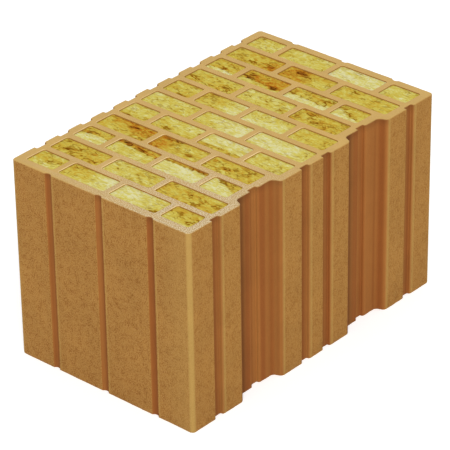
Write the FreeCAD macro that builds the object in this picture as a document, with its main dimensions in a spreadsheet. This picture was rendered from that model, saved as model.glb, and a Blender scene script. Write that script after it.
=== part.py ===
"""Hollow clay wall block, 400 x 248 x 238 mm, with a mineral wool slab in every cell.

Frame: X across the block, Y along it and Z up the cells, origin at the middle of the
bottom bed face. The long face at +X has the grooves and the two tongue pockets of the
wall joint, the long face at -X has the square plaster notches, and the two short faces
have three round grooves each.
"""
import FreeCAD, Part
import math
import os
import re
import Sketcher
from FreeCAD import Vector

# Driving sizes in millimetres, and one angle in degrees
SIZES = (
    ("block_length", 400.0, "along Y"),
    ("block_width", 248.0, "along X"),
    ("block_height", 238.0, "along Z, the way the clay is extruded"),
    ("corner_radius", 5.0, "of the four upright corners"),
    ("end_wall", 10.5, "short faces to the first and last row of cells"),
    ("plain_wall", 11.5, "notched long face to the cells"),
    ("joint_wall", 9.8, "grooved long face to the cells"),
    ("pocket_wall", 10.4, "floor of a tongue pocket to the cells"),
    ("row_web", 8.0, "between one row of cells and the next"),
    ("cross_rib", 7.4, "between the cells of one row"),
    ("edge_cell", 38.3, "width of the end cells in a row of four"),
    ("cell_radius", 3.0, "of the corners of a cell"),
    ("pocket_floor", 47.5, "flat floor of a tongue pocket"),
    ("pocket_depth", 10.5, "of a tongue pocket"),
    ("pocket_radius", 5.5, "of the curves at the mouth and the floor of a pocket"),
    ("pocket_slope", 67.0, "degrees from a pocket's floor to its side walls"),
    ("joint_groove_width", 12.0, "small grooves of the joint face"),
    ("joint_groove_depth", 3.8, "below the face or below a pocket's floor"),
    ("joint_groove_radius", 1.5, "of their inner corners"),
    ("notch_width", 13.8, "plaster notches"),
    ("notch_depth", 3.8, "plaster notches"),
    ("notch_radius", 0.8, "of their inner corners"),
    ("end_groove_radius", 5.4, "round grooves of the short faces"),
    ("end_groove_depth", 2.4, "round grooves of the short faces"),
    ("wool_gap", 0.3, "between a wool slab and the clay round it"),
    ("wool_recess", 0.8, "wool below the top bed face and above the bottom one"),
)

# Rows of cells are counted from the front short face, and so are the webs between them.
# Each kind of row has its cell widths from the notched face to the joint face, and the
# evenly spaced rows that repeat it.
ROW_COUNT = 11
ROW_KINDS = {
    "outer_rows": (("edge_cell", "outer_cell", "outer_cell", "edge_cell"), (1, 11)),
    "four_cell_rows": (("edge_cell", "inner_cell", "inner_cell", "edge_cell_long"), (5, 7)),
    "four_cell_pocket_rows": (("edge_cell", "inner_cell", "inner_cell", "edge_cell"), (3, 9)),
    "three_cell_rows": (("third_cell", "third_cell", "third_cell_long"), (2, 6, 10)),
    "three_cell_pocket_rows": (("third_cell", "third_cell", "third_cell"), (4, 8)),
}
POCKET_WEBS = (3, 8)
OUTER_GROOVE_WEBS = (1, 10)
MIDDLE_GROOVE_WEBS = (5, 6)
ALL_WEBS = tuple(range(1, ROW_COUNT))
END_GROOVE_COUNT = 3

# Sizes that follow from the driving ones
DERIVED = (
    ("row_pitch", f"(block_length - 2 * end_wall + row_web) / {ROW_COUNT}"),
    ("cell_depth", "row_pitch - row_web"),
    ("first_web", "end_wall + cell_depth + row_web / 2"),
    ("outer_cell", "(block_width - plain_wall - joint_wall - 2 * edge_cell - 3 * cross_rib) / 2"),
    ("pocket_row_width", "block_width - plain_wall - pocket_depth - pocket_wall"),
    ("inner_cell", "(pocket_row_width - 2 * edge_cell - 3 * cross_rib) / 2"),
    ("third_cell", "(pocket_row_width - 2 * cross_rib) / 3"),
    ("long_cell_gain", "pocket_depth + pocket_wall - joint_wall"),
    ("edge_cell_long", "edge_cell + long_cell_gain"),
    ("third_cell_long", "third_cell + long_cell_gain"),
    ("end_groove_pitch", "outer_cell + cross_rib"),
    ("end_groove_centre", "end_groove_radius - end_groove_depth"),
)

START, END, CENTRE = 1, 2, 3
ORIGIN_POINT = (-1, 1)
X_AXIS, Y_AXIS = -1, -2

doc = FreeCAD.newDocument("clay_block_with_wool")
sheet = doc.addObject("Spreadsheet::Sheet", "Sizes")


def fill_sheet():
    """Write the driving sizes as plain numbers and the derived ones as formulas."""
    row = 0
    for alias, size, meaning in SIZES:
        row += 1
        sheet.set(f"A{row}", alias)
        sheet.set(f"B{row}", str(size))
        sheet.set(f"C{row}", meaning)
        sheet.setAlias(f"B{row}", alias)
    for alias, formula in DERIVED:
        row += 1
        sheet.set(f"A{row}", alias)
        sheet.set(f"B{row}", "=" + formula)
        sheet.setAlias(f"B{row}", alias)
    doc.recompute()


def sized(formula):
    """Turn a formula of size names into an expression that reads them from the sheet."""
    return re.sub(r"[a-z][a-z_]+", lambda word: "Sizes." + word.group(), formula)


def number(formula):
    """Value of a formula of size names, in millimetres or degrees."""
    return float(sheet.evalExpression(sized(formula)))


def web_line(web):
    """Distance of a web's middle line from the front short face."""
    return f"first_web + {web - 1} * row_pitch"


def row_front(row):
    """Distance of a row's front cell wall from the front short face."""
    return f"end_wall + {row - 1} * row_pitch"


def new_body(name):
    """Empty body whose label is its node's name."""
    body = doc.addObject("PartDesign::Body", name)
    body.Label = name
    return body


def new_sketch(body, name, x_offset="0", y_offset="0"):
    """Sketch on the body's XY plane, its origin moved by two formulas."""
    plane = next(part for part in body.Origin.OriginFeatures if part.Role == "XY_Plane")
    sketch = body.newObject("Sketcher::SketchObject", name)
    sketch.AttachmentSupport = (plane, [""])
    sketch.MapMode = "FlatFace"
    sketch.setExpression("AttachmentOffset.Base.x", sized(x_offset))
    sketch.setExpression("AttachmentOffset.Base.y", sized(y_offset))
    return sketch


def dimension(sketch, name, kind, where, formula):
    """Add a named dimension that follows a formula of sizes, in millimetres or degrees."""
    value = math.radians(number(formula)) if kind == "Angle" else number(formula)
    index = sketch.addConstraint(Sketcher.Constraint(kind, *where, value))
    sketch.renameConstraint(index, name)
    sketch.setExpression("Constraints." + name, sized(formula))


def line(x_from, y_from, x_to, y_to):
    return Part.LineSegment(Vector(x_from, y_from, 0), Vector(x_to, y_to, 0))


def arc(x_mid, y_mid, radius, from_degrees, to_degrees):
    circle = Part.Circle(Vector(x_mid, y_mid, 0), Vector(0, 0, 1), radius)
    return Part.ArcOfCircle(circle, math.radians(from_degrees), math.radians(to_degrees))


def rounded_rectangle(sketch, name, left, right, front, back, radius):
    """Rectangle with round corners: its sides and its radius follow formulas."""
    x0, x1, y0, y1 = number(left), number(right), number(front), number(back)
    r = number(radius)
    pieces = [
        line(x0 + r, y0, x1 - r, y0),
        arc(x1 - r, y0 + r, r, 270, 360),
        line(x1, y0 + r, x1, y1 - r),
        arc(x1 - r, y1 - r, r, 0, 90),
        line(x1 - r, y1, x0 + r, y1),
        arc(x0 + r, y1 - r, r, 90, 180),
        line(x0, y1 - r, x0, y0 + r),
        arc(x0 + r, y0 + r, r, 180, 270),
    ]
    first = sketch.addGeometry(pieces)[0]
    front_side, right_side, back_side, left_side = first, first + 2, first + 4, first + 6
    corners = [first + 1, first + 3, first + 5, first + 7]
    ties = [Sketcher.Constraint("Tangent", first + k, END, first + (k + 1) % len(pieces), START)
            for k in range(len(pieces))]
    ties += [Sketcher.Constraint("Horizontal", side) for side in (front_side, back_side)]
    ties += [Sketcher.Constraint("Vertical", side) for side in (right_side, left_side)]
    ties += [Sketcher.Constraint("Equal", corners[0], corner) for corner in corners[1:]]
    sketch.addConstraint(ties)
    dimension(sketch, name + "_left", "DistanceX", (*ORIGIN_POINT, left_side, START), left)
    dimension(sketch, name + "_right", "DistanceX", (*ORIGIN_POINT, right_side, START), right)
    dimension(sketch, name + "_front", "DistanceY", (*ORIGIN_POINT, front_side, START), front)
    dimension(sketch, name + "_back", "DistanceY", (*ORIGIN_POINT, back_side, START), back)
    dimension(sketch, name + "_radius", "Radius", (corners[0],), radius)


def pocket_profile(sketch):
    """Tongue pocket about the sketch's X axis, its mouth on the Y axis and its floor at -X.

    Each side wall is an S: a curve tangent to the face, a slope and a curve tangent to
    the floor. The outline closes outside the block.
    """
    half_floor, depth = number("pocket_floor / 2"), number("pocket_depth")
    r, turn = number("pocket_radius"), number("pocket_slope")
    across, inward = r * math.sin(math.radians(turn)), r * math.cos(math.radians(turn))
    slope_run = (depth - 2 * r + 2 * inward) / math.tan(math.radians(turn))
    half_mouth = half_floor + 2 * across + slope_run
    slope_top = (-r + inward, half_mouth - across)
    slope_foot = (-depth + r - inward, half_floor + across)
    sketch.addGeometry([
        line(r, -half_mouth, r, half_mouth),
        line(r, half_mouth, 0, half_mouth),
        arc(-r, half_mouth, r, 360 - turn, 360),
        line(*slope_top, *slope_foot),
        arc(-depth + r, half_floor, r, 180 - turn, 180),
        line(-depth, half_floor, -depth, -half_floor),
        arc(-depth + r, -half_floor, r, 180, 180 + turn),
        line(slope_foot[0], -slope_foot[1], slope_top[0], -slope_top[1]),
        arc(-r, -half_mouth, r, 0, turn),
        line(0, -half_mouth, r, -half_mouth),
    ])
    closing, out_plus, mouth_plus, slope_plus, foot_plus = 0, 1, 2, 3, 4
    floor, foot_minus, slope_minus, mouth_minus, out_minus = 5, 6, 7, 8, 9
    sketch.addConstraint([
        Sketcher.Constraint("Coincident", closing, END, out_plus, START),
        Sketcher.Constraint("Perpendicular", out_plus, END, mouth_plus, END),
        Sketcher.Constraint("Tangent", mouth_plus, START, slope_plus, START),
        Sketcher.Constraint("Tangent", slope_plus, END, foot_plus, START),
        Sketcher.Constraint("Tangent", foot_plus, END, floor, START),
        Sketcher.Constraint("Tangent", floor, END, foot_minus, START),
        Sketcher.Constraint("Tangent", foot_minus, END, slope_minus, START),
        Sketcher.Constraint("Tangent", slope_minus, END, mouth_minus, END),
        Sketcher.Constraint("Perpendicular", mouth_minus, START, out_minus, START),
        Sketcher.Constraint("Coincident", out_minus, END, closing, START),
        Sketcher.Constraint("Horizontal", out_plus),
        Sketcher.Constraint("Horizontal", out_minus),
        Sketcher.Constraint("Vertical", mouth_plus, END, mouth_minus, START),
        Sketcher.Constraint("Symmetric", floor, START, floor, END, X_AXIS),
        Sketcher.Constraint("Symmetric", closing, START, closing, END, X_AXIS),
        Sketcher.Constraint("Equal", mouth_plus, foot_plus),
        Sketcher.Constraint("Equal", mouth_plus, foot_minus),
        Sketcher.Constraint("Equal", mouth_plus, mouth_minus),
    ])
    mouth_end = (*ORIGIN_POINT, mouth_plus, END)
    dimension(sketch, "slope", "Angle", (slope_plus, floor), "pocket_slope")
    dimension(sketch, "half_floor", "DistanceY", (*ORIGIN_POINT, floor, START), "pocket_floor / 2")
    dimension(sketch, "depth", "DistanceX", (*ORIGIN_POINT, floor, START), "-pocket_depth")
    dimension(sketch, "face", "DistanceX", mouth_end, "0")
    dimension(sketch, "outside", "DistanceX", (*ORIGIN_POINT, closing, START), "pocket_radius")
    dimension(sketch, "curve", "Radius", (mouth_plus,), "pocket_radius")


def pad(body, sketch, name, height):
    """Raise a sketch by a formula of sizes."""
    feature = body.newObject("PartDesign::Pad", name)
    feature.Profile = sketch
    feature.setExpression("Length", sized(height))
    return feature


def cut_through(body, sketch, name):
    """Cut a sketch up through the whole block and make sure that it took clay away."""
    before = body.Shape.Volume
    feature = body.newObject("PartDesign::Pocket", name)
    feature.Profile = sketch
    feature.Type = "ThroughAll"
    feature.Reversed = True
    doc.recompute()
    if body.Shape.Volume >= before:
        raise RuntimeError(f"{name} cuts nothing")
    return feature


def repeat(body, feature, name, axis, copies, length):
    """Repeat a cut along an axis of its own sketch, over a length given by a formula."""
    pattern = body.newObject("PartDesign::LinearPattern", name)
    pattern.Originals = [feature]
    pattern.Direction = (feature.Profile[0], [axis])
    pattern.Occurrences = copies
    pattern.setExpression("Length", sized(length))
    body.Tip = pattern
    doc.recompute()
    return pattern


def cell_edges(widths):
    """Left and right side of each cell in a row, as formulas from the notched face."""
    edges = []
    left = "plain_wall"
    for width in widths:
        right = f"{left} + {width}"
        edges.append((left, right))
        left = f"{right} + cross_rib"
    return edges


def cut_cells(body, kind):
    """Cut the first row of one kind, then its other rows by a pattern along Y."""
    widths, rows = ROW_KINDS[kind]
    sketch = new_sketch(body, kind + "_sketch", "-block_width / 2",
                        f"-block_length / 2 + {row_front(rows[0])}")
    for index, (left, right) in enumerate(cell_edges(widths), start=1):
        rounded_rectangle(sketch, f"cell_{index}", left, right, "0", "cell_depth", "cell_radius")
    feature = cut_through(body, sketch, kind)
    repeat(body, feature, kind + "_pattern", "V_Axis", len(rows),
           f"{rows[-1] - rows[0]} * row_pitch")


def cut_side_grooves(body, name, face, webs, shape):
    """Cut one kind of groove in a long face, centred on the lines of evenly spaced webs.

    The face is a formula for its X, and the shape is four formulas: how far the cut
    reaches to -X and to +X of the face, its width and its corner radius.
    """
    to_left, to_right, width, radius = shape
    sketch = new_sketch(body, name + "_sketch", face, f"-block_length / 2 + {web_line(webs[0])}")
    rounded_rectangle(sketch, "groove", "-" + to_left, to_right, f"-{width} / 2",
                      f"{width} / 2", radius)
    feature = cut_through(body, sketch, name)
    repeat(body, feature, name + "_pattern", "V_Axis", len(webs),
           f"{webs[-1] - webs[0]} * row_pitch")


def cut_tongue_pockets(body):
    """Cut the two tongue pockets of the joint face."""
    sketch = new_sketch(body, "tongue_pocket_sketch", "block_width / 2",
                        f"-block_length / 2 + {web_line(POCKET_WEBS[0])}")
    pocket_profile(sketch)
    feature = cut_through(body, sketch, "tongue_pocket")
    repeat(body, feature, "tongue_pocket_pattern", "V_Axis", len(POCKET_WEBS),
           f"{POCKET_WEBS[-1] - POCKET_WEBS[0]} * row_pitch")


def cut_end_grooves(body):
    """Cut the round grooves of both short faces, the middle one half way across the block."""
    sketch = new_sketch(body, "end_groove_sketch",
                        f"-{(END_GROOVE_COUNT - 1) / 2} * end_groove_pitch", "-block_length / 2")
    radius = number("end_groove_radius")
    centres = {"front": "-end_groove_centre", "back": "block_length + end_groove_centre"}
    for name, centre in centres.items():
        middle = Vector(0, number(centre), 0)
        circle = sketch.addGeometry(Part.Circle(middle, Vector(0, 0, 1), radius))
        sketch.addConstraint(Sketcher.Constraint("PointOnObject", circle, CENTRE, Y_AXIS))
        dimension(sketch, name + "_centre", "DistanceY", (*ORIGIN_POINT, circle, CENTRE), centre)
        dimension(sketch, name + "_radius", "Radius", (circle,), "end_groove_radius")
    feature = cut_through(body, sketch, "end_groove")
    repeat(body, feature, "end_groove_pattern", "H_Axis", END_GROOVE_COUNT,
           f"{END_GROOVE_COUNT - 1} * end_groove_pitch")


def make_clay_block():
    """The fired clay body: the outline, then every cut that runs its whole height."""
    body = new_body("clay_block")
    outline = new_sketch(body, "outline_sketch")
    rounded_rectangle(outline, "outline", "-block_width / 2", "block_width / 2",
                      "-block_length / 2", "block_length / 2", "corner_radius")
    pad(body, outline, "block", "block_height")
    doc.recompute()
    cut_tongue_pockets(body)
    joint_face = "block_width / 2"
    groove = ("joint_groove_depth", "joint_groove_depth", "joint_groove_width",
              "joint_groove_radius")
    cut_side_grooves(body, "outer_joint_groove", joint_face, OUTER_GROOVE_WEBS, groove)
    cut_side_grooves(body, "middle_joint_groove", joint_face, MIDDLE_GROOVE_WEBS, groove)
    cut_side_grooves(body, "pocket_groove", joint_face + " - pocket_depth", POCKET_WEBS, groove)
    notch = ("notch_depth", "notch_depth", "notch_width", "notch_radius")
    cut_side_grooves(body, "plaster_notch", "-block_width / 2", ALL_WEBS, notch)
    cut_end_grooves(body)
    for kind in ROW_KINDS:
        cut_cells(body, kind)
    return body


def rectangle(sketch, name, half_width, half_depth):
    """Rectangle about the sketch's origin whose half sizes follow formulas."""
    x, y = number(half_width), number(half_depth)
    sides = sketch.addGeometry([line(-x, -y, x, -y), line(x, -y, x, y), line(x, y, -x, y),
                                line(-x, y, -x, -y)])
    front_side, right_side, back_side, left_side = sides
    ties = [Sketcher.Constraint("Coincident", side, END, (side + 1) % len(sides), START)
            for side in sides]
    ties += [Sketcher.Constraint("Horizontal", side) for side in (front_side, back_side)]
    ties += [Sketcher.Constraint("Vertical", side) for side in (right_side, left_side)]
    ties.append(Sketcher.Constraint("Symmetric", front_side, START, back_side, START,
                                    *ORIGIN_POINT))
    sketch.addConstraint(ties)
    corner = (*ORIGIN_POINT, back_side, START)
    dimension(sketch, name + "_half_width", "DistanceX", corner, half_width)
    dimension(sketch, name + "_half_depth", "DistanceY", corner, half_depth)


def upright_edges(shape):
    """Names of the edges that run along Z."""
    names = []
    for index, edge in enumerate(shape.Edges, start=1):
        bottom, top = edge.Vertexes[0].Point, edge.Vertexes[-1].Point
        if math.hypot(top.x - bottom.x, top.y - bottom.y) < 1e-6:
            names.append(f"Edge{index}")
    return names


def make_wool_slab(row, cell, left, width):
    """One mineral wool slab, drawn about its own middle and placed in its cell.

    Its upright edges are cut off, so that the slab clears the round corners of the cell.
    """
    body = new_body(f"wool_row_{row:02d}_cell_{cell}")
    sketch = new_sketch(body, body.Label + "_sketch")
    rectangle(sketch, "slab", f"{width} / 2 - wool_gap", "cell_depth / 2 - wool_gap")
    block = pad(body, sketch, body.Label + "_pad", "block_height - 2 * wool_recess")
    doc.recompute()
    corners = body.newObject("PartDesign::Chamfer", body.Label + "_corners")
    corners.Base = (block, upright_edges(block.Shape))
    corners.setExpression("Size", sized("cell_radius - wool_gap"))
    body.setExpression("Placement.Base.x", sized(f"-block_width / 2 + {left} + {width} / 2"))
    body.setExpression("Placement.Base.y",
                       sized(f"-block_length / 2 + {row_front(row)} + cell_depth / 2"))
    body.setExpression("Placement.Base.z", sized("wool_recess"))
    return body


def make_wool():
    """A slab for every cell of every row."""
    slabs = []
    for widths, rows in ROW_KINDS.values():
        for row in rows:
            for cell, (left, _) in enumerate(cell_edges(widths), start=1):
                slabs.append(make_wool_slab(row, cell, left, widths[cell - 1]))
    return slabs


def check_document(bodies):
    """Stop if any object failed or any sub-part has no sound solid."""
    for item in doc.Objects:
        if "Invalid" in item.State or "Error" in item.State:
            raise RuntimeError(f"{item.Name} failed: {item.State}")
    for body in bodies:
        if body.Shape.isNull() or not body.Shape.isValid():
            raise RuntimeError(f"{body.Label} has no valid shape")
        if len(body.Shape.Solids) != 1:
            raise RuntimeError(f"{body.Label} has {len(body.Shape.Solids)} solids")


def write_parts(bodies):
    """Write each sub-part to a STEP file of its own name."""
    os.makedirs("parts", exist_ok=True)
    for body in bodies:
        body.Shape.exportStep(os.path.join("parts", body.Label + ".step"))


fill_sheet()
sub_parts = [make_clay_block()] + make_wool()
doc.recompute()
check_document(sub_parts)
write_parts(sub_parts)
print(f"{len(sub_parts)} sub-parts, clay {sub_parts[0].Shape.Volume / 1e6:.3f} litres, "
      f"wool {sum(body.Shape.Volume for body in sub_parts[1:]) / 1e6:.3f} litres")
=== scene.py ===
"""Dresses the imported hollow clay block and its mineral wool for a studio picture.

Everything is in metres in the block's own frame: X across the block towards the long
face with the tongue pockets, Y along it, Z up the cells, origin in the middle of the
bottom bed face.
"""
from __future__ import annotations

import logging
import math
from dataclasses import dataclass
from enum import Enum
from typing import Any

import bpy
import bmesh
import numpy as np
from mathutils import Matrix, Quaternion, Vector
from mathutils.geometry import tessellate_polygon

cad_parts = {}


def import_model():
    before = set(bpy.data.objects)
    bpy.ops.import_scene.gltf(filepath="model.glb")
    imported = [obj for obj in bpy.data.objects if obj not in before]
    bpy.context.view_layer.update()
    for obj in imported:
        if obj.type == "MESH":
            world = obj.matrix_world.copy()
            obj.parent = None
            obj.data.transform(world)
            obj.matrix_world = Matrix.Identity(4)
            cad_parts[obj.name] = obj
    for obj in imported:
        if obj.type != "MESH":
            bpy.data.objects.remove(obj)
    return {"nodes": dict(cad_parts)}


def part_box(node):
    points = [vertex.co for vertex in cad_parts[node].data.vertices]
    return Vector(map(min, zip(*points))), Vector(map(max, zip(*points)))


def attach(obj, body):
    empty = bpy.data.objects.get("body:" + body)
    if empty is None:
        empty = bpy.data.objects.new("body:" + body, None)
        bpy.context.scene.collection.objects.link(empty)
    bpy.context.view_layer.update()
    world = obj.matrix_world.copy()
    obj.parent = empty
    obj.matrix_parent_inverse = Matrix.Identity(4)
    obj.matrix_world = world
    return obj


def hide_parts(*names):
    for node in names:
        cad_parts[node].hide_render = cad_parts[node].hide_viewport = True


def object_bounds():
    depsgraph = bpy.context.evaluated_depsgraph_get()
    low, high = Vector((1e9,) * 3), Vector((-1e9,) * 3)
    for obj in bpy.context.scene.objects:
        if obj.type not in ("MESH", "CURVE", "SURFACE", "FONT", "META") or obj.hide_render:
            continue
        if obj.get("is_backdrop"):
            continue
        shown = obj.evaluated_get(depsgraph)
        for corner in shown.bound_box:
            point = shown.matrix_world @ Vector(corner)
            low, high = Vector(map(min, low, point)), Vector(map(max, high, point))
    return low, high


MM = 0.001
CREASE_DEGREES = 38.0
LOG = logging.getLogger("clay_block")

Array = np.ndarray
Data = bpy.types.ID
Material = bpy.types.Material
Node = bpy.types.Node
Object = bpy.types.Object
Place = tuple[float, float, float]
Rgba = tuple[float, float, float, float]
Socket = bpy.types.NodeSocket
Tree = bpy.types.NodeTree

# Settings that many nodes share, and the span in which a noise mostly lies
NOISE_SPAN = {"From_Min": 0.3, "From_Max": 0.7}
COLOUR = {"data_type": "RGBA"}
TINT = {"data_type": "RGBA", "blend_type": "MULTIPLY"}
SMOOTH = {"interpolation_type": "SMOOTHSTEP"}
TIMES = {"operation": "MULTIPLY"}
TIMES_PLUS = {"operation": "MULTIPLY_ADD"}


def linear(hex_colour: str) -> Rgba:
    """Turns an sRGB hex colour into the linear colour that a shader reads.

    Args:
        hex_colour: Six hex digits after a hash.

    Returns:
        Linear red, green and blue, and an alpha of 1.
    """
    parts = [int(hex_colour[place:place + 2], 16) / 255 for place in (1, 3, 5)]
    red, green, blue = (((part + 0.055) / 1.055) ** 2.4 if part > 0.04045 else part / 12.92
                        for part in parts)
    return red, green, blue, 1.0


def add_node(tree: Tree, kind: str, settings: dict[str, Any] | None = None, **links: Any) -> Node:
    """Adds one node, sets its properties and fills or links its inputs.

    Args:
        tree: Node tree of a material or world.
        kind: Node type without its ShaderNode prefix.
        settings: Properties of the node itself. The setting stops fills a colour ramp
            with pairs of a place and a hex colour.
        **links: Inputs by name, with spaces as underscores, or by number as in_0. Each
            is a plain value, an output socket, or a node whose first output feeds it.

    Returns:
        The new node.
    """
    node = tree.nodes.new("ShaderNode" + kind)
    settings = dict(settings or {})
    stops = settings.pop("stops", ())
    if stops:
        elements = node.color_ramp.elements
        elements.remove(elements[1])
        elements[0].position, elements[0].color = stops[0][0], linear(stops[0][1])
        for place, hex_colour in stops[1:]:
            elements.new(place).color = linear(hex_colour)
    for name, value in settings.items():
        setattr(node, name, value)
    for name, value in links.items():
        if name.startswith("in_"):
            socket = node.inputs[int(name[3:])]
        else:
            socket = next(entry for entry in node.inputs
                          if entry.enabled and entry.name == name.replace("_", " "))
        if isinstance(value, Node):
            value = next(output for output in value.outputs if output.enabled)
        if isinstance(value, Socket):
            tree.links.new(value, socket)
        else:
            socket.default_value = value
    return node


def start_material(name: str, roughness: float, specular: float) -> tuple[Material, Tree, Node]:
    """Starts a dull material and returns it with its node tree and its shader."""
    material = bpy.data.materials.new(name)
    material.use_nodes = True
    shader = material.node_tree.nodes["Principled BSDF"]
    shader.inputs["Roughness"].default_value = roughness
    shader.inputs["Specular IOR Level"].default_value = specular
    return material, material.node_tree, shader


def value_noise(x: Array, y: Array, size_x: float, size_y: float, seed: int) -> Array:
    """Smooth random values between 0 and 1 over a plane.

    Random numbers stand on a lattice of the given cell size, and between them the value
    eases by 3t^2 - 2t^3 along both directions.

    Args:
        x: First coordinates.
        y: Second coordinates, in the same shape.
        size_x: Lattice step along x.
        size_y: Lattice step along y.
        seed: Seed of the lattice's numbers.

    Returns:
        The values, in the shape of x.
    """
    count = 64
    table = np.random.default_rng(seed).random((count, count))
    along, across = x / size_x, y / size_y
    column, row = np.floor(along).astype(int), np.floor(across).astype(int)
    a, b = along - column, across - row
    a, b = a * a * (3 - 2 * a), b * b * (3 - 2 * b)
    here, beyond = column % count, (column + 1) % count
    below, above = row % count, (row + 1) % count
    left = table[here, below] * (1 - b) + table[here, above] * b
    right = table[beyond, below] * (1 - b) + table[beyond, above] * b
    return left * (1 - a) + right * a


def layered_noise(x: Array, y: Array, size_x: float, size_y: float, seed: int) -> Array:
    """Three layers of value noise, each half as large and half as strong as the last."""
    shares = (1.0, 0.5, 0.25)
    layers = [share * value_noise(x, y, size_x * share, size_y * share, seed + layer)
              for layer, share in enumerate(shares)]
    return sum(layers) / sum(shares)


def eased(value: Array, low: float, high: float) -> Array:
    """Rises smoothly from 0 at low to 1 at high."""
    t = np.clip((value - low) / (high - low), 0, 1)
    return t * t * (3 - 2 * t)


def add_object(name: str, data: Data) -> Object:
    """Adds an object with the given mesh, lamp or camera to the scene."""
    added = bpy.data.objects.new(name, data)
    bpy.context.scene.collection.objects.link(added)
    return added


def make_piece(name: str, points: Array, faces: list[tuple[int, ...]], paints: dict[str, Array],
               material: Material) -> Object:
    """Makes a mesh object at the origin from computed arrays.

    Args:
        name: Name of the piece.
        points: Vertex positions in metres.
        faces: Vertex numbers of each face.
        paints: Named numbers for each vertex or for each face, read by the materials.
        material: Finish of the whole piece.

    Returns:
        The new object, its faces turned outwards and its sharp edges marked.
    """
    mesh = bpy.data.meshes.new(name)
    mesh.from_pydata(points.tolist(), [], faces)
    shell = bmesh.new()
    shell.from_mesh(mesh)
    bmesh.ops.recalc_face_normals(shell, faces=shell.faces)
    shell.to_mesh(mesh)
    shell.free()
    for paint, values in paints.items():
        domain = "POINT" if len(values) == len(points) else "FACE"
        layer = mesh.attributes.new(paint, "FLOAT", domain)
        layer.data.foreach_set("value", values.astype(np.float32))
    mesh.shade_smooth()
    mesh.set_sharp_from_angle(angle=math.radians(CREASE_DEGREES))
    mesh.materials.append(material)
    return add_object(name, mesh)


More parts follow.
